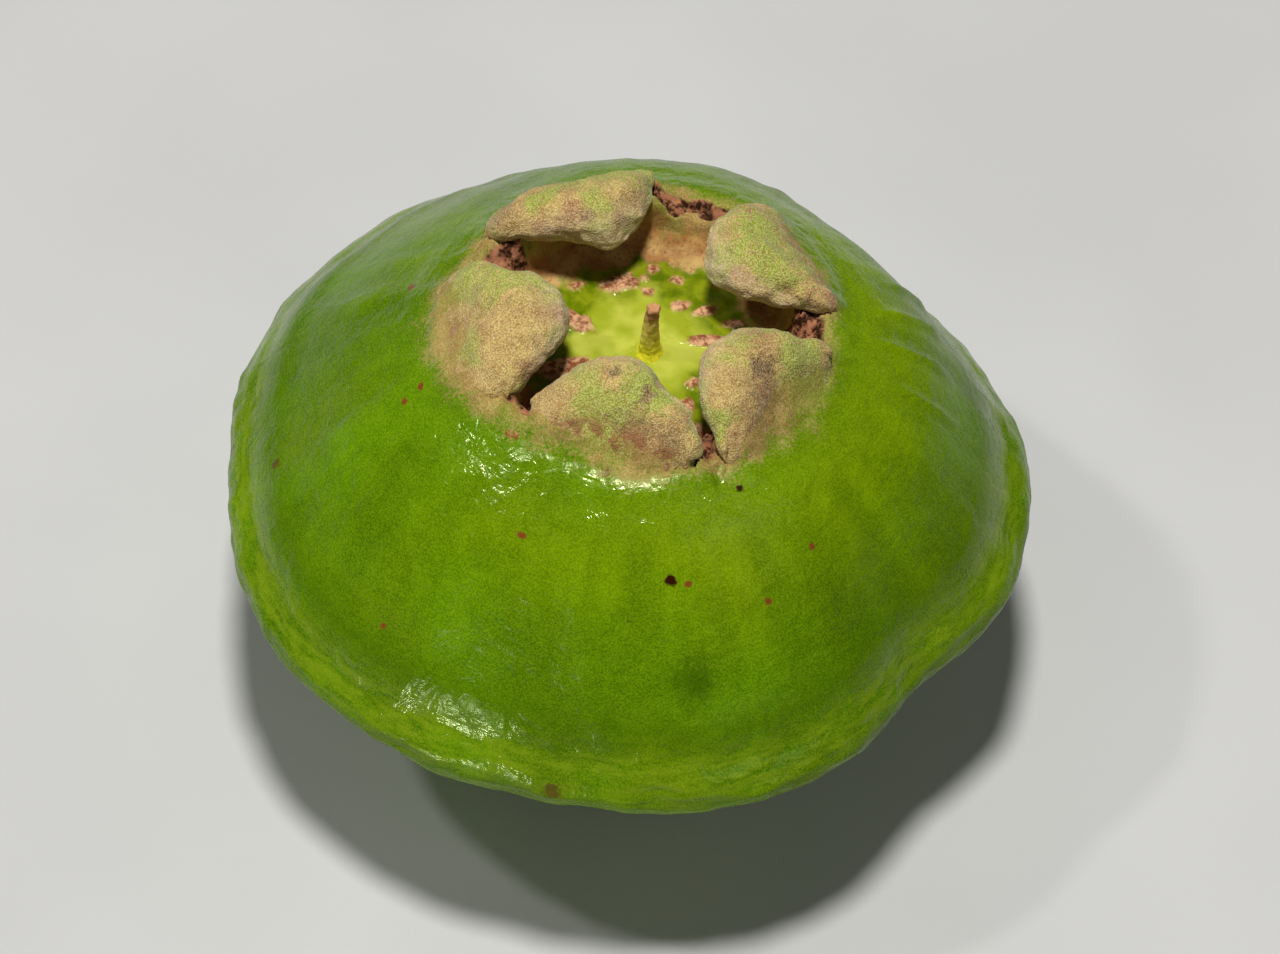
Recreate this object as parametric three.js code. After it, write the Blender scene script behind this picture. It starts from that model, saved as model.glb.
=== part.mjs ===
// A cambuci (Campomanesia phaea): a lens-shaped green fruit with a raised rim round its widest
// part, a shallow cup at the flower end, five dry sepals curling in over the cup, and the
// dried style standing in its middle.
//
// Millimetres, +Z up, flower end up. The fruit rests on a small flat spot round its stalk scar.
// The origin is on the ground under the middle of the fruit's outline.

import * as THREE from 'three';
import { mergeVertices } from 'three/addons/utils/BufferGeometryUtils.js';

// ---------------------------------------------------------------- driving dimensions

const RIM_RADIUS = 28; // half of the greatest width
const RIM_HEIGHT = 17.2; // height of the widest part above the ground

const SCAR_RADIUS = 2.6; // stalk scar, a dimple in the resting spot
const SCAR_DEPTH = 0.7;
const REST_RADIUS = 4.6; // outer edge of the flat resting spot

const CREST_RADIUS = 11.8; // crest of the wall round the cup
const CREST_HEIGHT = 33.2;
const CUP_RADIUS = 8.2; // edge of the cup's floor
const CUP_HEIGHT = 30.7; // floor of the cup, at its edge
const STYLE_MOUND = 0.5; // how far the floor rises to the middle
const CALYX_OFFSET = new THREE.Vector2(1.2, 0.9); // the cup is a little off the fruit's middle

const STYLE_OFFSET = new THREE.Vector2(0.5, -0.4); // from the middle of the cup
const STYLE_LENGTH = 4.3;
const STYLE_FOOT_RADIUS = 1.1;
const STYLE_TIP_RADIUS = 0.5;

const SEPAL_THICKNESS = 1.6;
const SEPAL_DROOP = 0.35; // how far a sepal's sides hang below its middle, towards the tip
const FOOT_ROUNDING = 0.12; // share of a sepal's length in which it reaches its full width
const TIP_TAPER = 0.55; // how bluntly a sepal narrows: less is blunter
const GROWTH_GAP = 0.3; // clearance between pieces that touch

const degrees = THREE.MathUtils.degToRad;

// The rim isn't round: slow waves in its radius, and one small dent.
const RIM_MEAN = -0.36;
const RIM_WAVES = [
  { count: 1, size: 0.57, peak: degrees(148) },
  { count: 2, size: 0.71, peak: degrees(-44) },
  { count: 3, size: 0.37, peak: degrees(-2) },
  { count: 4, size: 0.38, peak: degrees(13) },
  { count: 5, size: 0.36, peak: degrees(6) },
];
const RIM_DENT = { azimuth: degrees(-41), depth: 0.8, spread: degrees(8) };

// Sepals: azimuth of the base and of the tip, half width at the base, radius of the base, height
// of the crown, and where the tip ends. Radii are from the middle of the cup.
const SEPALS = [
  { name: 'sepal_back_left', base: 109, tip: 112, half: 6.2, foot: 12.1, crown: 36.9, reach: 5.9, end: 34.7 },
  { name: 'sepal_left', base: 180, tip: 186, half: 6.4, foot: 12.0, crown: 36.3, reach: 4.8, end: 34.8 },
  { name: 'sepal_front', base: 256, tip: 259, half: 6.0, foot: 11.6, crown: 36.4, reach: 5.0, end: 35.3 },
  { name: 'sepal_front_right', base: 327, tip: 325, half: 5.7, foot: 11.9, crown: 36.2, reach: 5.8, end: 35.0 },
  { name: 'sepal_back_right', base: 39, tip: 45, half: 6.3, foot: 12.1, crown: 36.8, reach: 6.2, end: 34.7 },
];

// Mesh density
const BODY_SIDES = 64;
const SKIN_STEPS = 26;
const CUP_STEPS = 12;
const SEPAL_SIDES = 16;
const SEPAL_STEPS = 12;
const STYLE_SIDES = 12;

// ---------------------------------------------------------------- materials

const material = (color, roughness) => new THREE.MeshStandardMaterial({ color, roughness, metalness: 0 });

const skinGreen = material(0x62880c, 0.42);
const sepalFelt = material(0xb4a167, 0.9);
const styleBrown = material(0xa08a3c, 0.75);

// ---------------------------------------------------------------- helpers

const at = (radius, height) => new THREE.Vector2(radius, height);

// A geometry with only positions, and with the vertices that coincide made one.
function weld(geometry) {
  geometry.deleteAttribute('uv');
  geometry.deleteAttribute('normal');
  const welded = mergeVertices(geometry, 1e-5);
  const kept = [];
  const corners = welded.index.array;
  for (let i = 0; i < corners.length; i += 3) {
    const [a, b, c] = [corners[i], corners[i + 1], corners[i + 2]];
    if (a !== b && b !== c && c !== a) kept.push(a, b, c);
  }
  welded.setIndex(kept);
  welded.computeVertexNormals();
  return welded;
}

// Moves every vertex of a geometry to where move(vertex) puts it.
function bend(geometry, move) {
  const position = geometry.attributes.position;
  const vertex = new THREE.Vector3();
  for (let i = 0; i < position.count; i++) {
    vertex.fromBufferAttribute(position, i);
    move(vertex);
    position.setXYZ(i, vertex.x, vertex.y, vertex.z);
  }
  return geometry;
}

const wrapAngle = (angle) => Math.atan2(Math.sin(angle), Math.cos(angle));

// ---------------------------------------------------------------- fruit body

// Half of the fruit's outline, from the stalk scar round the rim to the middle of the cup.
function bodyOutline() {
  const skin = new THREE.SplineCurve([
    at(REST_RADIUS, 0),
    at(9.5, 1.2),
    at(15.5, 4.6),
    at(20.5, 9.0),
    at(24.6, 13.3),
    at(27.1, 15.5),
    at(RIM_RADIUS, RIM_HEIGHT),
    at(27.3, 19.0),
    at(25.8, 20.4),
    at(24.2, 22.2),
    at(22.3, 24.8),
    at(19.6, 28.0),
    at(16.6, 30.7),
    at(14.6, 32.0),
    at(13.2, 32.8),
    at(CREST_RADIUS, CREST_HEIGHT),
  ]);
  const cup = new THREE.SplineCurve([
    at(CREST_RADIUS, CREST_HEIGHT),
    at(10.7, 32.7),
    at(9.7, 31.5),
    at(CUP_RADIUS, CUP_HEIGHT),
    at(CUP_RADIUS / 2, CUP_HEIGHT + STYLE_MOUND * 0.4),
    at(0, CUP_HEIGHT + STYLE_MOUND),
  ]);
  return [
    at(0, SCAR_DEPTH),
    at(SCAR_RADIUS / 2, SCAR_DEPTH * 0.85),
    at(SCAR_RADIUS, 0),
    ...skin.getPoints(SKIN_STEPS),
    ...cup.getPoints(CUP_STEPS).slice(1),
  ];
}

// How far the skin stands out from the round outline, at the rim, in one direction.
function rimSwell(azimuth) {
  let swell = RIM_MEAN;
  for (const wave of RIM_WAVES) swell += wave.size * Math.cos(wave.count * (azimuth - wave.peak));
  const fromDent = wrapAngle(azimuth - RIM_DENT.azimuth) / RIM_DENT.spread;
  return swell - RIM_DENT.depth * Math.exp(-fromDent * fromDent);
}

function fruitBody() {
  const lathe = new THREE.LatheGeometry(bodyOutline(), BODY_SIDES);
  lathe.rotateX(Math.PI / 2);
  bend(lathe, (vertex) => {
    const radius = Math.hypot(vertex.x, vertex.y);
    const azimuth = Math.atan2(vertex.y, vertex.x);
    const aboveRest = THREE.MathUtils.smoothstep(vertex.z, 0, 14);
    const belowCrest = 1 - THREE.MathUtils.smoothstep(vertex.z, 20, CREST_HEIGHT - 0.2);
    const inCup = radius <= CREST_RADIUS && vertex.z > RIM_HEIGHT;
    const atRim = inCup ? 0 : aboveRest * belowCrest;
    const grow = 1 + (atRim * rimSwell(azimuth)) / RIM_RADIUS;
    const shift = THREE.MathUtils.smoothstep(vertex.z, 18, CUP_HEIGHT - 0.2);
    vertex.x = vertex.x * grow + shift * CALYX_OFFSET.x;
    vertex.y = vertex.y * grow + shift * CALYX_OFFSET.y;
  });
  const mesh = new THREE.Mesh(weld(lathe), skinGreen);
  mesh.name = 'fruit_body';
  return mesh;
}

// ---------------------------------------------------------------- sepals

// A sepal is a flattened ball, drawn out along a curve that climbs from the crest of the cup,
// turns over its crown and ends inside the cup. It is modelled along +X, seen from the middle
// of the cup, with Y across it.
function sepal({ name, base, tip, half, foot, crown, reach, end }) {
  const halfThickness = SEPAL_THICKNESS / 2;
  const footHeight = CREST_HEIGHT + GROWTH_GAP;
  const crownHeight = crown - halfThickness;
  const spine = new THREE.CubicBezierCurve(
    at(foot, footHeight),
    at(foot - 1.2, crownHeight + 0.8),
    at(THREE.MathUtils.lerp(foot, reach, 0.62), crownHeight + 0.5),
    at(reach, end),
  );
  const ball = new THREE.SphereGeometry(1, SEPAL_SIDES, SEPAL_STEPS);
  const lean = degrees(tip - base);
  bend(ball, (vertex) => {
    const along = 1 - Math.acos(THREE.MathUtils.clamp(vertex.y, -1, 1)) / Math.PI;
    const round = Math.hypot(vertex.x, vertex.z);
    const atPole = round < 1e-6;
    const across = atPole ? 0 : vertex.x / round;
    const through = atPole ? 0 : vertex.z / round;
    const footFill = Math.min(1, Math.sqrt(along / FOOT_ROUNDING));
    const tipFill = Math.pow(Math.max(0, 1 - along * along), TIP_TAPER);
    const width = half * footFill * tipFill;
    const thickness = halfThickness * footFill * Math.sqrt(tipFill);
    const centre = spine.getPoint(along);
    const heading = spine.getTangent(along);
    const side = across * width;
    const curl = (side * side) / (2 * foot);
    const droop = SEPAL_DROOP * along * (side / half) ** 2;
    const depth = through * thickness;
    const radius = centre.x - curl + depth * heading.y;
    const height = centre.y - droop - depth * heading.x;
    const turn = lean * along;
    vertex.x = radius * Math.cos(turn) - side * Math.sin(turn);
    vertex.y = radius * Math.sin(turn) + side * Math.cos(turn);
    vertex.z = height;
  });
  const mesh = new THREE.Mesh(weld(ball), sepalFelt);
  mesh.name = name;
  mesh.rotation.z = degrees(base);
  return mesh;
}

// ---------------------------------------------------------------- style

function driedStyle() {
  const foot = CUP_HEIGHT + STYLE_MOUND + GROWTH_GAP;
  const outline = [
    at(0, 0),
    at(STYLE_FOOT_RADIUS, 0),
    at(STYLE_FOOT_RADIUS * 0.8, 0.8),
    at(STYLE_FOOT_RADIUS * 0.66, 2),
    at(STYLE_TIP_RADIUS * 1.15, 3.6),
    at(STYLE_TIP_RADIUS, STYLE_LENGTH - 0.2),
    at(STYLE_TIP_RADIUS * 0.7, STYLE_LENGTH),
    at(0, STYLE_LENGTH),
  ];
  const lathe = new THREE.LatheGeometry(outline, STYLE_SIDES);
  lathe.rotateX(Math.PI / 2);
  const mesh = new THREE.Mesh(weld(lathe), styleBrown);
  mesh.name = 'style';
  mesh.position.set(STYLE_OFFSET.x, STYLE_OFFSET.y, foot);
  return mesh;
}

// ---------------------------------------------------------------- the fruit

const calyx = new THREE.Group();
calyx.position.set(CALYX_OFFSET.x, CALYX_OFFSET.y, 0);
for (const shape of SEPALS) calyx.add(sepal(shape));
calyx.add(driedStyle());

const cambuci = new THREE.Group();
cambuci.add(fruitBody());
cambuci.add(calyx);

// The rim's waves leave the outline's middle a little to one side of the stalk scar.
const middle = new THREE.Box3().setFromObject(cambuci).getCenter(new THREE.Vector3());
cambuci.position.set(-middle.x, -middle.y, 0);

export default cambuci;
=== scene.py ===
"""A cambuci on a pale floor, seen from above its front.

Sizes are millimetres in the fruit's own frame, whose axis stands on the middle of the stalk
scar, and to_metres() puts them in the row's frame.
"""

import math

import bpy
import numpy as np
from mathutils.kdtree import KDTree
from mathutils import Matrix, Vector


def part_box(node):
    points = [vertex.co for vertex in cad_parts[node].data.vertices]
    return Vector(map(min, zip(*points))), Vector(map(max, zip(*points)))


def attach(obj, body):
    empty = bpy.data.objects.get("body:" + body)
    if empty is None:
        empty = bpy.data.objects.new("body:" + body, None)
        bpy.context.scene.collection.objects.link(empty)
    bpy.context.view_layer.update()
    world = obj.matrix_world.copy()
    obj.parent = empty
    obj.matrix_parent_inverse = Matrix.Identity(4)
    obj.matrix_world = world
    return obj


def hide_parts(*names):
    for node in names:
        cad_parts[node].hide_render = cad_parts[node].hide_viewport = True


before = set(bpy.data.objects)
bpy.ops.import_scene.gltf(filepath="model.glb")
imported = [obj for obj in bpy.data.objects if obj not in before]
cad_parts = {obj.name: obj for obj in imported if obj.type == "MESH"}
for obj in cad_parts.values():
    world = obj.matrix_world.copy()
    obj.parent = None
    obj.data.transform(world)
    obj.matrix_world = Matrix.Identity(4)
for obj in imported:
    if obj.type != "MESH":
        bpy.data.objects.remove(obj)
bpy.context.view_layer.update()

MM = 0.001

# ---------------------------------------------------------------- sizes, as in the CAD model

RIM_RADIUS = 28.0
RIM_HEIGHT = 17.2
SCAR_RADIUS = 2.6
SCAR_DEPTH = 0.7
REST_RADIUS = 4.6
CREST_RADIUS = 11.8
CREST_HEIGHT = 33.2
CUP_RADIUS = 8.2
CUP_HEIGHT = 30.7
STYLE_MOUND = 0.5
CALYX = np.array([1.2, 0.9])
STYLE_OFFSET = np.array([0.5, -0.4])

RIM_MEAN = -0.36
RIM_WAVES = [(1, 0.57, 148), (2, 0.71, -44), (3, 0.37, -2), (4, 0.38, 13), (5, 0.36, 6)]
RIM_DENT = (-41, 0.8, 8)
RIM_BULGE = (-20, 0.7, 12)

# The fruit's axis in the row's frame, worked out from where the CAD model holds the style.
style_low, style_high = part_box("style")
AXIS = np.array([(style_low[i] + style_high[i]) / 2 / MM for i in (0, 1)]) - CALYX - STYLE_OFFSET


def to_metres(points):
    """Millimetres round the fruit's axis to metres in the row's frame."""
    moved = np.array(points, float)
    moved[..., 0] += AXIS[0]
    moved[..., 1] += AXIS[1]
    return moved * MM


# ---------------------------------------------------------------- small maths


def smooth(low, high, x):
    t = np.clip((x - low) / (high - low), 0, 1)
    return t * t * (3 - 2 * t)


def bell(x, width):
    return np.exp(-((x / width) ** 2))


def angle_from(angle, centre_degrees):
    """Signed angle from a direction, in radians."""
    away = angle - math.radians(centre_degrees)
    return np.arctan2(np.sin(away), np.cos(away))


def spline(points, t):
    """A Catmull-Rom spline through points, for t from 0 to 1."""
    p = np.array(points, float)
    last = len(p) - 1
    s = np.clip(np.asarray(t, float), 0, 1) * last
    k = np.minimum(s.astype(int), last - 1)
    w = (s - k)[..., None]
    p1, p2 = p[k], p[k + 1]
    p0, p3 = p[np.maximum(k - 1, 0)], p[np.minimum(k + 2, last)]
    v0, v1 = (p2 - p0) / 2, (p3 - p1) / 2
    return (2 * p1 - 2 * p2 + v0 + v1) * w**3 + (3 * p2 - 3 * p1 - 2 * v0 - v1) * w**2 + v0 * w + p1


def lattice_value(ix, iy, iz, seed):
    """A repeatable random number from -1 to 1 for each lattice point."""
    h = ix * 374761393 + iy * 668265263 + iz * 2147483647 + seed * 1274126177
    h = (h ^ (h >> 13)) & 0xFFFFFFFF
    h = (h * 1103515245 + 12345) & 0xFFFFFFFF
    h = (h ^ (h >> 16)) & 0xFFFFFFFF
    h = (h * 668265263) & 0xFFFFFFFF
    return (h >> 8) / float(1 << 23) - 1


def noise(points, scale, seed=0, octaves=1):
    """Smooth noise from about -1 to 1; scale is the size of its lumps, in the points' unit."""
    total = np.zeros(points.shape[:-1])
    size = 1.0
    for octave in range(octaves):
        q = points / scale * 2**octave + 100.0
        cell = np.floor(q).astype(np.int64)
        f = q - cell
        f = f**3 * (f * (f * 6 - 15) + 10)
        value = 0
        for corner in range(8):
            dx, dy, dz = corner & 1, corner >> 1 & 1, corner >> 2 & 1
            weight = (
                (f[..., 0] if dx else 1 - f[..., 0])
                * (f[..., 1] if dy else 1 - f[..., 1])
                * (f[..., 2] if dz else 1 - f[..., 2])
            )
            ix, iy, iz = cell[..., 0] + dx, cell[..., 1] + dy, cell[..., 2] + dz
            value = value + weight * lattice_value(ix, iy, iz, seed + octave)
        total += value * size
        size *= 0.5
    return total


# ---------------------------------------------------------------- mesh helpers


def grid_normals(points, wrap):
    """Unit normals of a grid of points (rows, columns, 3), pointing along rows x columns."""
    down = np.gradient(points, axis=0)
    if wrap:
        across = (np.roll(points, -1, 1) - np.roll(points, 1, 1)) / 2
    else:
        across = np.gradient(points, axis=1)
    n = np.cross(across, down)
    return n / np.maximum(np.linalg.norm(n, axis=-1, keepdims=True), 1e-12)


def make_piece(name, points, faces, material, replaces, slot, **masks):
    """A smooth mesh in the row's frame, with the masks as vertex attributes."""
    mesh = bpy.data.meshes.new(name)
    mesh.from_pydata(to_metres(points).tolist(), [], faces)
    mesh.update()
    mesh.polygons.foreach_set("use_smooth", [True] * len(mesh.polygons))
    for mask, values in masks.items():
        layer = mesh.attributes.new(mask, "FLOAT", "POINT")
        layer.data.foreach_set("value", np.asarray(values, np.float32).ravel())
    mesh.materials.append(material)
    piece = bpy.data.objects.new(name, mesh)
    bpy.context.scene.collection.objects.link(piece)
    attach(piece, "root")
    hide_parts(replaces)


# ---------------------------------------------------------------- shader helpers


class Shader:
    """A material with one Principled BSDF, and short calls that add nodes to it."""

    def __init__(self, name):
        self.material = bpy.data.materials.new(name)
        self.material.use_nodes = True
        self.tree = self.material.node_tree
        self.bsdf = self.tree.nodes["Principled BSDF"]
        self.where = self.add("ShaderNodeTexCoord").outputs["Object"]

    def add(self, kind, **settings):
        node = self.tree.nodes.new(kind)
        for key, value in settings.items():
            setattr(node, key, value)
        return node

    def plug(self, socket, value):
        if hasattr(value, "is_linked"):
            self.tree.links.new(value, socket)
        elif isinstance(value, tuple) and len(value) == 3 and socket.type == "RGBA":
            socket.default_value = (*value, 1)
        else:
            socket.default_value = value

    def attribute(self, name):
        return self.add("ShaderNodeAttribute", attribute_name=name).outputs["Fac"]

    def math(self, operation, a, b=0.0, c=0.0):
        node = self.add("ShaderNodeMath", operation=operation)
        for socket, value in zip(node.inputs, (a, b, c)):
            self.plug(socket, value)
        return node.outputs[0]

    def ramp(self, value, low, high, to_low=0.0, to_high=1.0):
        """value from low..high to to_low..to_high, smoothly and clamped."""
        node = self.add("ShaderNodeMapRange", interpolation_type="SMOOTHSTEP")
        for socket, number in zip(node.inputs, (value, low, high, to_low, to_high)):
            self.plug(socket, number)
        return node.outputs[0]

    def noise(self, size_mm, detail=2.0, roughness=0.5, stretch=None, offset=0.0, distortion=0.0):
        """Noise from 0 to 1 with lumps of about size_mm; stretch scales the axes."""
        vector = self.where
        if stretch or offset:
            mapping = self.add("ShaderNodeMapping")
            self.plug(mapping.inputs["Vector"], vector)
            mapping.inputs["Scale"].default_value = stretch or (1, 1, 1)
            mapping.inputs["Location"].default_value = (offset, offset, offset)
            vector = mapping.outputs[0]
        node = self.add("ShaderNodeTexNoise")
        self.plug(node.inputs["Vector"], vector)
        node.inputs["Scale"].default_value = 1 / (size_mm * MM)
        node.inputs["Detail"].default_value = detail
        node.inputs["Roughness"].default_value = roughness
        node.inputs["Distortion"].default_value = distortion
        return node.outputs["Fac"]

    def mix(self, factor, a, b):
        """A colour between a and b."""
        node = self.add("ShaderNodeMix", data_type="RGBA")
        self.plug(node.inputs["Factor"], factor)
        self.plug(node.inputs[6], a)
        self.plug(node.inputs[7], b)
        return node.outputs[2]

    def spot(self, centre, radius, ragged=0.8, soft=0.22):
        """1 inside a small ragged spot at a place in millimetres, and 0 outside it."""
        node = self.add("ShaderNodeVectorMath", operation="DISTANCE")
        self.plug(node.inputs[0], self.where)
        node.inputs[1].default_value = tuple(to_metres(centre))
        sway = radius * ragged * MM
        wobble = self.math("MULTIPLY_ADD", self.noise(0.5, 2), sway * 2, -sway)
        reach = self.math("ADD", node.outputs["Value"], wobble)
        return self.ramp(reach, radius * (0.95 - soft) * MM, radius * (0.95 + soft) * MM, 1.0, 0.0)

    def finish(self, colour, roughness, heights):
        """Sets colour and roughness, and a bump from (height, distance in mm) pairs."""
        self.plug(self.bsdf.inputs["Base Color"], colour)
        self.plug(self.bsdf.inputs["Roughness"], roughness)
        normal = None
        for height, distance in heights:
            bump = self.add("ShaderNodeBump")
            self.plug(bump.inputs["Height"], height)
            bump.inputs["Distance"].default_value = distance * MM
            bump.inputs["Strength"].default_value = 1.0
            if normal:
                self.plug(bump.inputs["Normal"], normal)
            normal = bump.outputs[0]
        self.plug(self.bsdf.inputs["Normal"], normal)
        return self.material


def srgb(r, g, b):
    """An sRGB colour, 0 to 255, as the linear one that shaders take."""
    def channel(c):
        c /= 255
        return c / 12.92 if c <= 0.04045 else ((c + 0.055) / 1.055) ** 2.4
    return channel(r), channel(g), channel(b)


# ---------------------------------------------------------------- the fruit's surface

SKIN = [
    (REST_RADIUS, 0), (9.5, 1.2), (15.5, 4.6), (20.5, 9.0), (24.6, 13.3), (27.1, 15.5),
    (RIM_RADIUS, RIM_HEIGHT), (27.3, 19.0), (25.8, 20.4), (24.2, 22.2), (22.3, 24.8),
    (19.6, 28.0), (16.6, 30.7), (14.6, 32.0), (13.2, 32.8), (CREST_RADIUS, CREST_HEIGHT),
]
CUP = [
    (CREST_RADIUS, CREST_HEIGHT), (10.7, 32.7), (9.7, 31.5), (CUP_RADIUS, CUP_HEIGHT),
    (CUP_RADIUS / 2, CUP_HEIGHT + STYLE_MOUND * 0.4), (0.04, CUP_HEIGHT + STYLE_MOUND),
]

# Clefts between the sepals, from the middle of the cup: direction and half width in degrees,
# radius, and half depth.
CLEFTS = [
    (71, 20, 11.4, 0.6), (151, 11, 10.8, 1.4), (219, 10, 9.5, 1.2),
    (291, 7, 10.0, 1.7), (357, 12, 10.7, 1.4),
]

# A slack furrow down the front, creases beside the cup on the right, and shallow folds: direction
# and depth, half width in degrees, and the heights between which each one runs.
CREASES = [
    (-101, 0.22, 3.0, 20, 31), (-84, 0.12, 2.2, 19, 29), (-120, 0.12, 2.6, 19, 28),
    (14, 0.30, 1.0, 24, 31.5), (4, 0.30, 0.9, 25, 32), (-7, 0.24, 0.9, 24, 31),
    (24, 0.26, 1.3, 22, 30), (-30, 0.12, 2.5, 19, 27), (60, 0.15, 2.0, 20, 29),
    (160, 0.15, 3.0, 19, 29), (210, 0.12, 2.6, 19, 29),
]

SIDES = 420

# Shares of SKIN where the spacing of the rows changes: below the rim, and on the shoulder.
BELOW_RIM = 5 / 15
ON_SHOULDER = 12 / 15


def rim_swell(azimuth):
    swell = RIM_MEAN
    for count, size, peak in RIM_WAVES:
        swell = swell + size * np.cos(count * (azimuth - math.radians(peak)))
    for (direction, size, spread), sign in ((RIM_DENT, -1), (RIM_BULGE, 1)):
        swell = swell + sign * size * bell(angle_from(azimuth, direction), math.radians(spread))
    return swell


def body_surface():
    """Points of the fruit (rows from the scar up, round, 3), and masks for its materials."""
    scar = spline([(0.04, SCAR_DEPTH), (SCAR_RADIUS / 2, SCAR_DEPTH * 0.85), (SCAR_RADIUS, 0)],
                  np.linspace(0, 1, 8)[:-1])
    rest = np.linspace((SCAR_RADIUS, 0), (REST_RADIUS, 0), 5)[:-1]
    under = spline(SKIN, np.linspace(0, BELOW_RIM, 44)[:-1])
    side = spline(SKIN, np.linspace(BELOW_RIM, ON_SHOULDER, 92)[:-1])
    shoulder = spline(SKIN, np.linspace(ON_SHOULDER, 1, 28)[:-1])
    cup = spline(CUP, np.linspace(0, 1, 66))
    outline = np.concatenate([scar, rest, under, side, shoulder, cup])
    in_cup = np.arange(len(outline)) >= len(outline) - len(cup)

    azimuth = np.linspace(0, 2 * np.pi, SIDES, endpoint=False)
    radius, height = outline[:, :1], outline[:, 1:]
    at_rim = smooth(0, 14, height) * (1 - smooth(20, CREST_HEIGHT - 0.2, height)) * ~in_cup[:, None]
    grown = radius * (1 + at_rim * rim_swell(azimuth) / RIM_RADIUS)
    shift = smooth(18, CUP_HEIGHT - 0.2, height)
    x = grown * np.cos(azimuth) + shift * CALYX[0]
    y = grown * np.sin(azimuth) + shift * CALYX[1]
    points = np.stack([x, y, height + 0 * x], -1)
    return points, in_cup, azimuth


def cleft_mask(points):
    """1 in the torn clefts between the sepals, and 0 elsewhere."""
    azimuth = np.arctan2(points[..., 1] - CALYX[1], points[..., 0] - CALYX[0])
    azimuth = azimuth + 0.07 * noise(points, 1.4, 40, 2)
    reach = np.hypot(points[..., 0] - CALYX[0], points[..., 1] - CALYX[1]) + 0.5 * noise(points, 1.1, 45, 2)
    mask = 0
    for direction, half, radius, depth in CLEFTS:
        across = np.abs(angle_from(azimuth, direction)) / math.radians(half)
        mask = np.maximum(mask, (1 - smooth(0.6, 1.15, across)) * bell(reach - radius, depth * 1.2))
    return mask


# Rough scars that the stamens left on the floor of the cup: radius and direction from its
# middle, long and short half sizes, and how far they are turned.
SCARS = [
    (6.0, 103, 1.1, 0.6, 10), (7.2, 84, 0.3, 0.25, 40), (5.0, 86, 0.35, 0.25, 0), (5.3, 152, 1.3, 0.5, -35),
    (5.6, 196, 1.4, 0.55, 10), (4.9, 210, 1.0, 0.35, 10), (7.0, 170, 1.0, 0.7, 60), (4.4, 8, 0.9, 0.4, 5),
    (4.5, 55, 0.5, 0.35, 0), (5.4, 38, 0.7, 0.3, 20), (5.9, 300, 0.6, 0.4, 80), (4.6, 318, 0.35, 0.3, 0),
    (7.6, 292, 0.9, 0.8, 30), (6.6, 68, 0.4, 0.3, 0), (6.2, 320, 0.8, 0.4, 60), (5.6, 345, 0.7, 0.35, 30),
    (7.2, 128, 0.5, 0.3, 40), (6.6, 20, 0.6, 0.35, 0), (7.2, 245, 1.0, 0.5, 60), (7.4, 335, 1.0, 0.6, 60),
]


def scar_mask(points):
    rough = 0.45 * noise(points, 0.8, 50, 3) - 0.2
    mask = 0
    for radius, direction, long, short, turn in SCARS:
        a = math.radians(direction)
        x = points[..., 0] - CALYX[0] - radius * math.cos(a)
        y = points[..., 1] - CALYX[1] - radius * math.sin(a)
        t = math.radians(turn)
        along = (x * math.cos(t) + y * math.sin(t)) / long
        across = (y * math.cos(t) - x * math.sin(t)) / short
        mask = np.maximum(mask, 1 - smooth(0.95, 1.35, np.hypot(along, across) + rough))
    return mask


# ---------------------------------------------------------------- sepals

# Each sepal's free edge, from its left foot over its tip to its right foot, seen from outside,
# as (radius, direction) from the middle of the cup; then how far its crown rises, the height of
# its tip, how far its foot stands out, and how brown the foot is.
SEPALS = {
    "sepal_back_left": {
        "edge": [
            (12.6, 143), (9.6, 137), (8.1, 130), (7.0, 122), (6.0, 112), (6.6, 99), (8.6, 91), (12.6, 88),
        ],
        "crown": 3.4, "tip": 34.6, "foot": 0.0, "stain": 0.9,
    },
    "sepal_left": {
        "edge": [
            (9.4, 213), (7.6, 211), (5.7, 204), (4.8, 191), (5.0, 176), (6.2, 166), (9.0, 162), (12.2, 160),
        ],
        "crown": 2.5, "tip": 34.6, "foot": 0.3, "stain": 0.2,
    },
    "sepal_front": {
        "edge": [
            (12.2, 287), (9.3, 285), (7.0, 278), (5.4, 268), (5.1, 255), (6.0, 244), (7.4, 235), (9.2, 227),
        ],
        "crown": 2.5, "tip": 35.2, "foot": -1.8, "stain": 1.0,
    },
    "sepal_front_right": {
        "edge": [
            (12.4, 347), (9.6, 342), (7.4, 334), (6.2, 325),
            (6.3, 313), (7.8, 303), (9.7, 298), (12.2, 296),
        ],
        "crown": 2.6, "tip": 34.7, "foot": -1.0, "stain": 0.6,
    },
    "sepal_back_right": {
        "edge": [
            (12.0, 52), (9.9, 53), (7.7, 51), (6.0, 43), (5.5, 31), (6.3, 19), (8.3, 10), (12.2, 7),
        ],
        "crown": 2.7, "tip": 34.5, "foot": 0.0, "stain": 0.8,
    },
}
SEPAL_THICKNESS = 1.5
WALL_OVER = 0.12  # how far the raised wall covers a sepal's foot
WALL_UNDER = 0.35  # how deep it lies under the rest of its outer face
WALL_SLOPE = 1.0  # how fast it falls away beside the sepal
WALL_FILLET = 1.0  # how softly it runs into the sepal
SEPAL_FOOT_RADIUS = 14.2
SEPAL_FOOT_HEIGHT = 31.5

# A sepal's rise over the line from its foot to its edge: share of the way, share of the crown.
SEPAL_RISE = [(0, 0), (0.12, 0.1), (0.25, 0.42), (0.4, 0.82), (0.55, 1), (0.7, 0.97), (0.85, 0.62), (1, 0)]
SEPAL_ROWS = 64
FIRST_SEPAL_SEED = 100
SEPAL_SEED_STEP = 10
SEPAL_COLUMNS = 96


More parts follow.
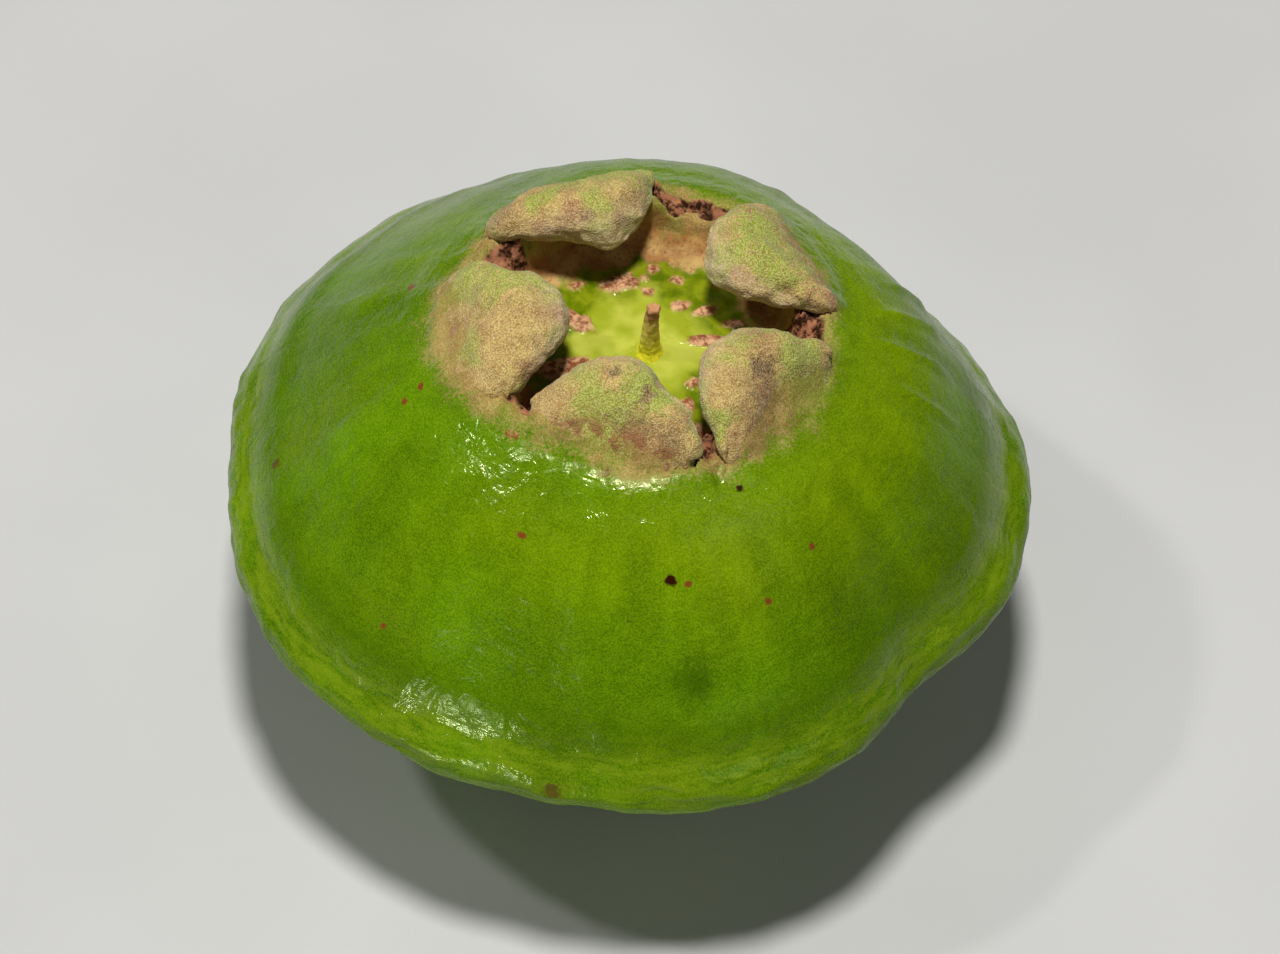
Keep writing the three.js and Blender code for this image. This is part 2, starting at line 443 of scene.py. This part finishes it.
def sepal_sheet(shape):
    """The middle surface of a sepal (from foot to edge, across, 3), u and v."""
    u = np.sin(np.linspace(0, 1, SEPAL_ROWS) * math.pi / 2)[:, None]
    v = np.sin(np.linspace(-1, 1, SEPAL_COLUMNS) * math.pi / 2)[None, :]
    edge_polar = spline(shape["edge"], (v[0] + 1) / 2)
    edge_angle = np.radians(edge_polar[:, 1])
    first, last = math.radians(shape["edge"][0][1]), math.radians(shape["edge"][-1][1])
    foot_angle = first + (last - first) * (v[0] + 1) / 2
    foot_radius = SEPAL_FOOT_RADIUS + shape["foot"] - 0.6 * v[0] ** 4
    edge = np.stack([edge_polar[:, 0] * np.cos(edge_angle), edge_polar[:, 0] * np.sin(edge_angle)], -1)
    foot = np.stack([foot_radius * np.cos(foot_angle), foot_radius * np.sin(foot_angle)], -1)
    plan = foot + (edge - foot) * u[..., None]
    edge_height = shape["tip"] - 1.7 * np.abs(v) ** 4
    bulge = shape["crown"] * (1 - 0.75 * np.abs(v) ** 3)
    rise = spline(SEPAL_RISE, np.linspace(0, 1, 300))
    arch = np.interp(u, rise[:, 0], rise[:, 1])
    height = SEPAL_FOOT_HEIGHT + (edge_height - SEPAL_FOOT_HEIGHT) * u + bulge * arch
    x = plan[..., 0] + CALYX[0]
    y = plan[..., 1] + CALYX[1]
    return np.stack([x, y, height], -1), u + 0 * v, v + 0 * u


def sepal_faces(shape, seed):
    """The outer and the under face of a sepal, as grids of points, and u."""
    sheet, u, v = sepal_sheet(shape)
    up = grid_normals(sheet, False)
    if up[SEPAL_ROWS // 2, SEPAL_COLUMNS // 2, 2] < 0:
        up = -up
    lumps = 0.38 * noise(sheet, 3.2, seed, 2) + 0.22 * noise(sheet, 1.3, seed + 1, 3)
    lip = 0.22 * bell(np.maximum(u, np.abs(v) * smooth(0.4, 0.7, u)) - 0.9, 0.08)
    sheet = sheet + up * (lumps * u + lip)[..., None]
    half = SEPAL_THICKNESS / 2 * np.sqrt(np.clip(1 - u**7, 0, 1))
    half = half * np.sqrt(np.clip(1 - np.abs(v) ** 9, 0, 1))
    half = half * np.sqrt(np.clip(u / 0.12, 0, 1))
    half = half * (1 + 0.18 * noise(sheet, 2.4, seed + 3, 2))
    half[0, :] = half[-1, :] = half[:, 0] = half[:, -1] = 0
    fuzz = 0.05 * noise(sheet, 0.42, seed + 7, 2) * (half > 0)
    top = sheet + up * (half + fuzz)[..., None]
    bottom = sheet - up * half[..., None]
    return top, bottom, u


def build_sepal(name, sides, material, stain):
    top, bottom, u = sides
    rows, columns = u.shape
    index = np.arange(rows * columns).reshape(rows, columns)
    under = index + rows * columns
    edge = np.zeros((rows, columns), bool)
    edge[0, :] = edge[-1, :] = edge[:, 0] = edge[:, -1] = True
    under[edge] = index[edge]
    faces = []
    for grid, flip in ((index, False), (under, True)):
        quads = np.stack([grid[:-1, :-1], grid[:-1, 1:], grid[1:, 1:], grid[1:, :-1]], -1).reshape(-1, 4)
        faces += (quads[:, ::-1] if flip else quads).tolist()
    points = np.concatenate([top.reshape(-1, 3), bottom.reshape(-1, 3)])
    used = np.unique(np.array(faces))
    renumber = np.zeros(len(points), int)
    renumber[used] = np.arange(len(used))
    faces = renumber[np.array(faces)]
    margin = np.concatenate([smooth(0.72, 1.0, u).ravel(), np.ones(rows * columns)])[used]
    foot = np.concatenate([stain * bell(u - 0.3, 0.14).ravel(), np.zeros(rows * columns)])[used]
    # Painted shade: marks the under face, which the material paints dark brown.
    below = np.concatenate([np.zeros(rows * columns), np.ones(rows * columns)])[used]
    points = points[used]
    # Faces point out when the signed volume is positive.
    a, b, c = points[faces[:, 0]], points[faces[:, 1]], points[faces[:, 2]]
    if np.einsum("ij,ij->", a, np.cross(b, c)) < 0:
        faces = faces[:, ::-1]
    make_piece(
        name + "_felt", points, faces.tolist(), material, replaces=name, slot="sepal",
        margin=margin, foot=foot, below=below,
    )


# ---------------------------------------------------------------- the fruit

# Marks on the skin: place, radius and colour. The places are only near the skin, and are moved
# to the nearest point of it.
DARK_SPOT, RUST_SPOT, DULL_SPOT = srgb(46, 16, 6), srgb(120, 66, 26), srgb(86, 78, 20)
MARKS = [
    ((3.2, -17.4, 29.2), 0.36, DARK_SPOT), ((4.1, -17.6, 28.9), 0.26, RUST_SPOT),
    ((-14.6, 6.7, 30.6), 0.34, RUST_SPOT), ((-14.7, -3.6, 30.8), 0.26, RUST_SPOT),
    ((-13.7, -2.9, 31.6), 0.30, RUST_SPOT), ((-7.6, -8.2, 33.3), 0.30, RUST_SPOT),
    ((-7.2, -8.5, 33.2), 0.22, RUST_SPOT), ((-6.7, -14.4, 30.1), 0.30, RUST_SPOT),
    ((12.4, -14.1, 28.8), 0.26, RUST_SPOT), ((7.6, -12.1, 32.1), 0.24, DARK_SPOT),
    ((9.5, -17.7, 27.2), 0.26, RUST_SPOT), ((-16.0, -16.5, 22.7), 0.22, RUST_SPOT),
    ((-1.3, -11.4, 33.4), 0.30, DULL_SPOT), ((-23.9, -1.9, 21.8), 0.42, DULL_SPOT),
    ((-4.7, -26.4, 18.0), 0.60, DULL_SPOT), ((-26.6, 2.0, 17.5), 0.5, DULL_SPOT),
]
BRUISE = ((4.6, -22.0, 24.1), 1.5)


def on_skin(points, place):
    """The point of the skin nearest to a place."""
    away = np.linalg.norm(points - np.array(place), axis=-1)
    return tuple(points[np.unravel_index(np.argmin(away), away.shape)])


def rise_to_sepals(points, weight, tops):
    """Raises the wall of the cup to the feet of the sepals, so that they grow out of it."""
    cloud = np.concatenate([top.reshape(-1, 3) for top, _ in tops])
    along = np.concatenate([u.ravel() for _, u in tops])
    lift = WALL_OVER - (WALL_OVER + WALL_UNDER) * smooth(0.28, 0.5, along)
    tree = KDTree(len(cloud))
    for number, place in enumerate(cloud):
        tree.insert((place[0], place[1], 0), number)
    tree.balance()
    for row, column in np.argwhere(weight > 0.01):
        x, y, z = points[row, column]
        near = tree.find_n((x, y, 0), 4)
        share = [1 / (away + 0.02) for _, _, away in near]
        over = sum((cloud[k][2] + lift[k]) * part for (_, k, _), part in zip(near, share)) / sum(share)
        roof = over - WALL_SLOPE * near[0][2]
        mix = max(0.0, min(1.0, 0.5 + (roof - z) / (2 * WALL_FILLET)))
        raised = z + (roof - z) * mix + WALL_FILLET * mix * (1 - mix)
        points[row, column, 2] = z + (raised - z) * weight[row, column]
    return points


def build_body(sepal_tops, felt_patches):
    points, in_cup, azimuth = body_surface()
    from_calyx = np.hypot(points[..., 0] - CALYX[0], points[..., 1] - CALYX[1])
    height = points[..., 2].copy()
    on_top = smooth(RIM_HEIGHT, RIM_HEIGHT + 2, height)
    out = -grid_normals(points, True)

    radius = np.hypot(points[..., 0], points[..., 1])
    swell = 1 + rim_swell(azimuth) / RIM_RADIUS
    from_rim = radius / swell
    flank = smooth(18, 22, height) * (1 - smooth(29.5, 31.5, height))
    ridge = bell(from_rim - 26.9, 0.9) * on_top
    groove = bell(from_rim - 24.6, 1.1) * on_top
    lumpy = noise(points, 7.0, 1, 2)
    push = 0.30 * ridge * (1 + 0.8 * lumpy) - 0.28 * groove * (1 + 0.6 * noise(points, 9.0, 2, 1))

    not_rest = smooth(REST_RADIUS, REST_RADIUS + 4, radius)
    outside = np.where(in_cup[:, None], 0.0, 1.0) * not_rest
    push += 0.28 * noise(points, 13.0, 3, 2) * outside * (1 - smooth(30, 32.5, height))

    # Meridian streaks on the flank, and wrinkles that run round the rim.
    round_cup = np.arctan2(points[..., 1] - CALYX[1], points[..., 0] - CALYX[0])
    streaks = np.stack([np.cos(round_cup) * 16, np.sin(round_cup) * 16, height * 0.12], -1)
    streak = noise(streaks, 1.8, 4, 3) * flank
    push += 0.09 * streak
    rings = np.stack([np.cos(round_cup) * 8, np.sin(round_cup) * 8, height * 1.6 + from_rim * 1.2], -1)
    rim_zone = bell(height - RIM_HEIGHT, 3.6) * outside
    push += 0.12 * noise(rings, 1.1, 5, 3) * rim_zone + 0.17 * noise(points, 2.6, 11, 2) * rim_zone

    for direction, depth, width, low, high in CREASES:
        bent = round_cup + 0.012 * (height - 27) * (1 if direction < 30 else -1)
        away = np.degrees(angle_from(bent, direction))
        span = smooth(low, low + 3, height) * (1 - smooth(high - 2, high, height))
        push -= depth * bell(away, width) * span * outside

    # The wall round the cup: raised to the sepals, with a bridge between the two on the front
    # left, and lower and torn in the clefts.
    torn = cleft_mask(points) * on_top
    ragged = noise(points, 0.9, 6, 3)
    points = points + out * push[..., None]
    by_sepals = smooth(9.9, 10.7, from_calyx) * (1 - smooth(16.0, 18.0, from_calyx)) * on_top
    points = rise_to_sepals(points, by_sepals, sepal_tops)
    bridge = bell(np.degrees(angle_from(round_cup, 222)), 10)
    points[..., 2] += 0.9 * bridge * bell(from_calyx - 11.4, 1.2) * on_top
    points[..., 2] -= torn * (0.5 + 0.5 * ragged)
    points[..., 2] += 0.10 * noise(points, 1.4, 7, 2) * bell(from_calyx - 12.0, 2.0) * on_top

    # The floor of the cup: soft lumps, and the rough scars that stand a little proud.
    floor = in_cup[:, None] * (1 - smooth(9.0, 10.0, from_calyx))
    scars = scar_mask(points) * floor
    points[..., 2] += floor * (0.10 * noise(points, 2.2, 8, 2)) + scars * (0.13 + 0.10 * ragged)

    # Where the skin is felted, yellower with painted light on the shoulder, waxy or corky.
    felt_edge = 13.2
    for direction, width, size in ((178, 0.6, 1.6), (-30, 0.4, 0.4), (235, 0.5, -1.1)):
        felt_edge = felt_edge + size * bell(angle_from(round_cup, direction), width)
    ring = np.stack([np.cos(round_cup) * 14, np.sin(round_cup) * 14, from_calyx], -1)
    round_noise = noise(ring, 1.6, 9, 3)
    felt = smooth(1.4, -1.8, from_calyx - felt_edge + 0.6 * round_noise) * on_top * (1 - floor)
    to_right = np.cos(angle_from(round_cup, -10))
    # Painted light: the shoulder, most on the right, is painted a lighter yellow-green, partly the skin's
    # own yellower tone.
    yellow = bell(from_calyx - 16.5, 4.0) * (0.55 + 0.45 * to_right) * on_top
    inner = smooth(7.0, 8.4, from_calyx + 0.6 * ragged) * on_top
    inner = inner * (1 - smooth(9.6, 10.6, from_calyx + 0.5 * ragged))
    centre = in_cup[:, None] * smooth(5.6, 3.8, from_calyx + 1.1 * noise(points, 1.6, 12, 2))

    stalk = smooth(SCAR_RADIUS + 0.5, SCAR_RADIUS - 0.2, radius + 0.25 * ragged) * (height < 3)
    waxy = np.maximum(bell(from_calyx - 14.8, 2.0), np.clip(ridge + rim_zone, 0, 1)) * on_top
    waxy = np.maximum(waxy, 0.7 * floor * smooth(0.6, 2.0, from_calyx))
    marks = [(on_skin(points, place), radius, colour) for place, radius, colour in MARKS]
    material = skin_material(marks, (on_skin(points, BRUISE[0]), BRUISE[1]), felt_patches)
    rows, sides = points.shape[:2]
    index = np.arange(rows * sides).reshape(rows, sides)
    a, b = index[:-1], np.roll(index, -1, 1)[:-1]
    c, d = np.roll(index, -1, 1)[1:], index[1:]
    faces = np.stack([a, b, c, d], -1).reshape(-1, 4).tolist()
    faces.append(index[0][::-1].tolist())
    faces.append(index[-1].tolist())
    make_piece(
        "fruit_skin", points.reshape(-1, 3), faces, material, replaces="fruit_body", slot="skin",
        felt=felt, waxy=waxy, yellow=yellow, streak=streak, cleft=torn, scars=scars, stalk=stalk,
        floor=floor, inner=inner, centre=centre,
        ridge=np.clip(ridge + 0.6 * rim_zone, 0, 1), groove=groove * outside,
    )


# ---------------------------------------------------------------- style


STYLE_SUNK = 0.65  # how far the style's foot reaches into the floor of the cup

# The style's outline as (radius, height), before it is stretched to its real height.
STYLE_OUTLINE = [
    (1.05, 0.0), (0.86, 0.35), (0.74, 0.8), (0.68, 1.4), (0.62, 2.2), (0.54, 3.2), (0.46, 4.4),
    (0.43, 5.0), (0.45, 5.3), (0.32, 5.56), (0.01, 5.4),
]
STYLE_OUTLINE_TOP = 5.56


def build_style(material):
    low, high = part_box("style")
    tall = (high[2] - low[2]) / MM
    base = low[2] / MM - STYLE_SUNK
    rings, sides = 60, 40
    profile = spline(STYLE_OUTLINE, np.linspace(0, 1, rings))
    angle = np.linspace(0, 2 * np.pi, sides, endpoint=False)
    height = profile[:, 1:] * (tall + STYLE_SUNK) / STYLE_OUTLINE_TOP
    lean_x = 0.012 * height**2
    radius = profile[:, :1] * (1 + 0.08 * np.cos(5 * angle + height))
    points = np.stack([radius * np.cos(angle) + lean_x, radius * np.sin(angle), height + 0 * angle], -1)
    points[..., :2] += CALYX + STYLE_OFFSET
    points[..., 2] += base
    rough = noise(points, 0.35, 70, 2) * (radius > 0.1)
    points[..., 0] += 0.05 * rough * np.cos(angle)
    points[..., 1] += 0.05 * rough * np.sin(angle)
    index = np.arange(rings * sides).reshape(rings, sides)
    quads = np.stack([index[:-1], np.roll(index, -1, 1)[:-1], np.roll(index, -1, 1)[1:], index[1:]], -1)
    faces = quads.reshape(-1, 4).tolist() + [index[0][::-1].tolist(), index[-1].tolist()]
    up = np.repeat(height / height.max(), sides, axis=1)
    make_piece(
        "style_stub", points.reshape(-1, 3), faces, material, replaces="style", slot="style", tall=up,
    )


# ---------------------------------------------------------------- materials


# Patches on the felt: place seen from above, radius, colour and strength.
LEAF, UMBER = srgb(140, 166, 14), srgb(88, 54, 24)
FELT_PATCHES = [
    (-0.5, 12.2, 1.9, LEAF, 0.8), (2.4, 10.6, 1.0, LEAF, 0.6), (-4.6, 12.6, 1.2, LEAF, 0.5),
    (9.4, 6.4, 2.4, LEAF, 0.9), (12.0, 4.8, 1.5, LEAF, 0.8), (7.0, 8.6, 1.4, LEAF, 0.7),
    (-6.4, 3.4, 2.2, LEAF, 0.75), (-9.6, 2.6, 1.8, LEAF, 0.6), (-4.6, 1.2, 1.0, LEAF, 0.5),
    (1.6, -7.0, 1.9, LEAF, 0.8), (-2.2, -8.6, 1.6, LEAF, 0.7), (0.6, -9.4, 1.4, UMBER, 0.45),
    (3.2, -10.4, 1.3, UMBER, 0.5), (2.4, -6.6, 0.6, UMBER, 0.9), (1.6, -7.8, 0.55, UMBER, 0.9),
    (-0.6, -6.4, 0.5, UMBER, 0.8), (11.4, -5.0, 2.0, LEAF, 0.75), (7.6, -3.4, 1.2, LEAF, 0.6),
    (9.6, -6.4, 1.3, UMBER, 0.75), (9.2, -5.2, 0.9, UMBER, 0.9), (8.8, -8.4, 1.2, UMBER, 0.35),
    (-8.6, 8.6, 1.2, UMBER, 0.5), (-2.6, 7.4, 0.5, UMBER, 0.7),
]


def patches_on(tops):
    """The patches with their places moved onto the outer faces of the sepals."""
    cloud = np.concatenate([top.reshape(-1, 3) for top in tops])
    placed = []
    for x, y, radius, colour, strength in FELT_PATCHES:
        nearest = np.argmin(np.hypot(cloud[:, 0] - x, cloud[:, 1] - y))
        placed.append((tuple(cloud[nearest]), radius, colour, strength))
    return placed


def felt_colour(s, patches):
    """Dry felt: straw and beige, blotched with brown and pale green, and finely flecked."""
    beige = s.mix(s.ramp(s.noise(1.6, 3, 0.6), 0.38, 0.62), srgb(174, 140, 68), srgb(202, 172, 94))
    brown = s.mix(s.ramp(s.noise(2.6, 3, 0.6, offset=0.3), 0.5, 0.7), beige, srgb(148, 94, 48))
    green = s.mix(s.ramp(s.noise(3.4, 2, 0.5, offset=0.7), 0.48, 0.64), brown, srgb(150, 164, 36))
    for place, radius, colour, strength in patches:
        green = s.mix(s.math("MULTIPLY", s.spot(place, radius, 1.4, 0.6), strength), green, colour)
    vein = s.ramp(s.noise(1.3, 4, 0.65, offset=1.3, distortion=1.5), 0.55, 0.68, 0.0, 0.5)
    green = s.mix(vein, green, srgb(120, 76, 38))
    rust = s.ramp(s.noise(0.9, 3, 0.7, offset=0.9), 0.55, 0.7, 0.0, 0.4)
    green = s.mix(rust, green, srgb(160, 98, 56))
    fleck = s.ramp(s.noise(0.11, 1, 0.5), 0.34, 0.66)
    return s.mix(fleck, s.mix(0.36, green, srgb(100, 62, 26)), s.mix(0.3, green, srgb(240, 220, 168)))


def skin_material(marks, bruise, felt_patches):
    """marks are (place, radius, colour); bruise is one soft dark patch (place, radius)."""
    s = Shader("skin")
    patches = s.ramp(s.noise(9, 3, 0.55), 0.35, 0.68)
    green = s.mix(patches, srgb(58, 102, 0), srgb(84, 134, 0))
    warm = s.ramp(s.noise(14, 2, 0.5, offset=0.2), 0.45, 0.7)
    green = s.mix(s.math("MULTIPLY", warm, 0.45), green, srgb(122, 146, 0))
    # Painted light on the shoulder, partly a yellower tone of the skin: a lighter yellow-green, most on the
    # right.
    green = s.mix(s.math("MULTIPLY", s.attribute("yellow"), 0.75), green, srgb(134, 162, 0))
    green = s.mix(s.ramp(s.attribute("streak"), -0.9, 0.9, 0.0, 0.5), green, srgb(52, 92, 0))
    mottle = s.ramp(s.noise(1.5, 4, 0.7, distortion=0.6), 0.34, 0.66)
    green = s.mix(mottle, s.mix(0.2, green, srgb(54, 88, 0)), s.mix(0.12, green, srgb(138, 166, 20)))
    grain = s.ramp(s.noise(0.12, 2, 0.6), 0.34, 0.66)
    green = s.mix(grain, s.mix(0.26, green, srgb(40, 74, 0)), s.mix(0.24, green, srgb(156, 176, 20)))
    wrinkle = s.noise(0.7, 3, 0.6, stretch=(0.3, 0.3, 1.8))
    # Painted highlight: paler yellow-green streaks along the rim's ridge.
    ridge = s.math("MULTIPLY", s.attribute("ridge"), s.ramp(wrinkle, 0.35, 0.65, 0.0, 0.4))
    green = s.mix(ridge, green, srgb(134, 154, 24))
    # Painted shade: the groove inside the rim is painted a darker green.
    green = s.mix(s.math("MULTIPLY", s.attribute("groove"), 0.35), green, srgb(60, 90, 0))
    for place, radius, colour in marks:
        green = s.mix(s.spot(place, radius, 1.1, 0.35), green, colour)
    bruise_at, bruise_radius = bruise
    bruised = s.math("MULTIPLY", s.spot(bruise_at, bruise_radius, 0.8, 0.7), 0.55)
    green = s.mix(bruised, green, srgb(36, 66, 4))

    felt = s.attribute("felt")
    speckle = s.noise(0.22, 3, 0.7, offset=0.5)
    speckled = s.math("ADD", felt, s.math("MULTIPLY", s.math("SUBTRACT", speckle, 0.5), 1.6))
    covered = s.ramp(speckled, 0.15, 0.95)
    ring_felt = s.mix(0.45, felt_colour(s, felt_patches), srgb(130, 106, 52))
    colour = s.mix(covered, green, ring_felt)

    inner_felt = s.mix(s.ramp(s.noise(1.8, 3, 0.6), 0.35, 0.65), srgb(166, 112, 62), srgb(196, 156, 92))
    inner_felt = s.mix(s.ramp(s.noise(0.24, 2, 0.6), 0.5, 0.7, 0.0, 0.6), inner_felt, srgb(122, 68, 40))
    colour = s.mix(s.attribute("inner"), colour, inner_felt)
    floor = s.mix(s.ramp(s.noise(1.4, 3, 0.6), 0.35, 0.65), srgb(92, 112, 4), srgb(136, 146, 20))
    pale = s.mix(s.ramp(s.noise(2.4, 2, 0.5), 0.35, 0.65), srgb(156, 166, 36), srgb(188, 192, 72))
    floor = s.mix(s.attribute("centre"), floor, pale)
    bare = s.ramp(s.attribute("inner"), 0.2, 0.8, 1.0, 0.0)
    colour = s.mix(s.math("MULTIPLY", s.attribute("floor"), bare), colour, floor)
    scab = s.mix(s.ramp(s.noise(0.4, 2, 0.6), 0.35, 0.65), srgb(132, 68, 38), srgb(216, 164, 122))
    colour = s.mix(s.attribute("scars"), colour, scab)
    torn = s.mix(s.ramp(s.noise(0.7, 3, 0.65), 0.38, 0.62), srgb(46, 20, 10), srgb(172, 116, 84))
    frayed = s.math("MULTIPLY", s.noise(0.6, 2), 0.3)
    cleft = s.ramp(s.math("ADD", s.attribute("cleft"), frayed), 0.45, 0.75)
    colour = s.mix(cleft, colour, torn)
    cork = s.mix(s.ramp(s.noise(0.6, 3, 0.7), 0.35, 0.65), srgb(92, 62, 34), srgb(168, 132, 88))
    colour = s.mix(s.attribute("stalk"), colour, cork)

    rough = s.ramp(s.noise(1.1, 3, 0.6), 0.3, 0.7, 0.1, 0.18)
    rough = s.math("ADD", rough, s.ramp(s.attribute("waxy"), 0.0, 0.8, 0.1, 0.0))
    dull = s.math("MAXIMUM", s.math("MAXIMUM", covered, s.attribute("inner")), cleft)
    dull = s.math("MAXIMUM", s.math("MAXIMUM", dull, s.attribute("scars")), s.attribute("stalk"))
    roughness = s.math("ADD", rough, s.math("MULTIPLY", dull, 0.5))
    s.bsdf.inputs["Subsurface Weight"].default_value = 0.06
    s.bsdf.inputs["Subsurface Radius"].default_value = (0.6, 1.0, 0.2)
    s.bsdf.inputs["Subsurface Scale"].default_value = 0.001
    s.plug(s.bsdf.inputs["Specular IOR Level"], s.ramp(s.attribute("waxy"), 0.0, 0.8, 0.12, 0.48))
    s.bsdf.inputs["Specular Tint"].default_value = (*srgb(238, 246, 190), 1)
    wax = s.noise(1.7, 3, 0.5, offset=0.4, distortion=1.2)
    return s.finish(colour, roughness, [(wrinkle, 0.05), (wax, 0.14), (s.noise(0.3, 2, 0.6), 0.012)])


def sepal_material(felt_patches):
    s = Shader("sepal_felt")
    colour = felt_colour(s, felt_patches)
    edge = s.math("MULTIPLY", s.attribute("margin"), s.ramp(s.noise(0.5, 3), 0.3, 0.7, 0.2, 0.85))
    colour = s.mix(edge, colour, srgb(214, 192, 152))
    base = s.math("MULTIPLY", s.attribute("foot"), s.ramp(s.noise(1.2, 3, 0.6), 0.36, 0.6, 0.0, 0.85))
    colour = s.mix(base, colour, srgb(134, 84, 46))
    # Painted shade: the sepal's under face is painted dark brown.
    colour = s.mix(s.math("MULTIPLY", s.attribute("below"), 0.8), colour, srgb(110, 74, 36))
    s.bsdf.inputs["Sheen Weight"].default_value = 0.1
    s.bsdf.inputs["Sheen Roughness"].default_value = 0.6
    s.bsdf.inputs["Specular IOR Level"].default_value = 0.25
    rough = s.ramp(s.noise(0.8, 2), 0.3, 0.7, 0.75, 0.95)
    return s.finish(colour, rough, [(s.noise(0.9, 3, 0.6), 0.2), (s.noise(0.13, 1), 0.11)])


def style_material():
    s = Shader("style_dry")
    uneven = s.math("MULTIPLY", s.math("SUBTRACT", s.noise(0.7, 2), 0.5), 0.25)
    tall = s.math("ADD", s.attribute("tall"), uneven)
    colour = s.mix(s.ramp(tall, 0.12, 0.55), srgb(250, 240, 50), srgb(246, 224, 100))
    colour = s.mix(s.ramp(tall, 0.6, 0.88), colour, srgb(196, 140, 94))
    colour = s.mix(s.ramp(s.noise(0.3, 2), 0.55, 0.75, 0.0, 0.6), colour, srgb(176, 140, 56))
    return s.finish(colour, s.ramp(tall, 0.2, 0.8, 0.4, 0.8), [(s.noise(0.3, 2), 0.05)])


# ---------------------------------------------------------------- stage, lights and camera

CAMERA_ELEVATION = math.radians(52.5)
CAMERA_DISTANCE = 0.350
CAMERA_LENS = 141.0
LOOK_HEIGHT = 0.017


def build_stage():
    bpy.ops.mesh.primitive_plane_add(size=4, location=(0, 0, 0))
    floor = bpy.context.object
    floor.name = "floor"
    s = Shader("floor")
    shade = s.mix(s.ramp(s.noise(30, 2), 0.3, 0.7), srgb(194, 193, 190), srgb(199, 198, 195))
    floor.data.materials.append(s.finish(shade, 0.7, [(s.noise(1.0, 2), 0.01)]))

    world = bpy.data.worlds.new("studio")
    bpy.context.scene.world = world
    world.use_nodes = True
    background = world.node_tree.nodes["Background"]
    background.inputs["Color"].default_value = (*srgb(235, 238, 242), 1)
    background.inputs["Strength"].default_value = 0.07


def add_light(name, direction, distance, size, watts, target):
    """An area light that faces the target: width and height in metres."""
    light = bpy.data.lights.new(name, "AREA")
    light.shape = "ELLIPSE"
    light.size, light.size_y = size
    light.energy = watts
    lamp = bpy.data.objects.new(name, light)
    bpy.context.scene.collection.objects.link(lamp)
    away = np.array(direction, float)
    away /= np.linalg.norm(away)
    lamp.location = [target[i] + away[i] * distance for i in range(3)]
    aim = Vector([-away[0], -away[1], -away[2]])
    lamp.rotation_mode = "QUATERNION"
    lamp.rotation_quaternion = aim.to_track_quat("-Z", "Y")


def build_camera():
    """Looks along +Y and down at the fruit, which sits a little off the middle of the view."""
    sideways, upward = 0.00106, 0.00046
    up = (0, math.sin(CAMERA_ELEVATION), math.cos(CAMERA_ELEVATION))
    target = [
        AXIS[0] * MM + sideways,
        AXIS[1] * MM + upward * up[1],
        LOOK_HEIGHT + upward * up[2],
    ]
    camera = bpy.data.objects.new("camera", bpy.data.cameras.new("camera"))
    bpy.context.scene.collection.objects.link(camera)
    camera.data.lens = CAMERA_LENS
    camera.data.clip_start = 0.01
    camera.location = (
        target[0],
        target[1] - CAMERA_DISTANCE * math.cos(CAMERA_ELEVATION),
        target[2] + CAMERA_DISTANCE * math.sin(CAMERA_ELEVATION),
    )
    camera.rotation_euler = (math.pi / 2 - CAMERA_ELEVATION, 0, 0)
    bpy.context.scene.camera = camera


# ---------------------------------------------------------------- the scene

build_camera()
build_stage()
middle = (0, 0, LOOK_HEIGHT)
add_light("key", (0.0, -0.02, 1.0), 0.60, (0.09, 0.09), 3.4, middle)
add_light("side", (-0.58, 0.05, 0.84), 0.60, (0.045, 0.045), 0.6, middle)
add_light("fill", (0.7, -0.8, 1.0), 0.9, (0.5, 0.5), 0.35, middle)
add_light("rim_glow", (-0.62, -0.79, 0.09), 0.6, (0.16, 0.05), 0.9, middle)

sepals = {}
for number, (name, shape) in enumerate(SEPALS.items()):
    sepals[name] = sepal_faces(shape, FIRST_SEPAL_SEED + SEPAL_SEED_STEP * number)
felt_patches = patches_on([top for top, _, _ in sepals.values()])
build_body([(top, u) for top, _, u in sepals.values()], felt_patches)
felt = sepal_material(felt_patches)
for name, sides in sepals.items():
    build_sepal(name, sides, felt, SEPALS[name]["stain"])
build_style(style_material())

bpy.context.scene.view_settings.view_transform = "Standard"
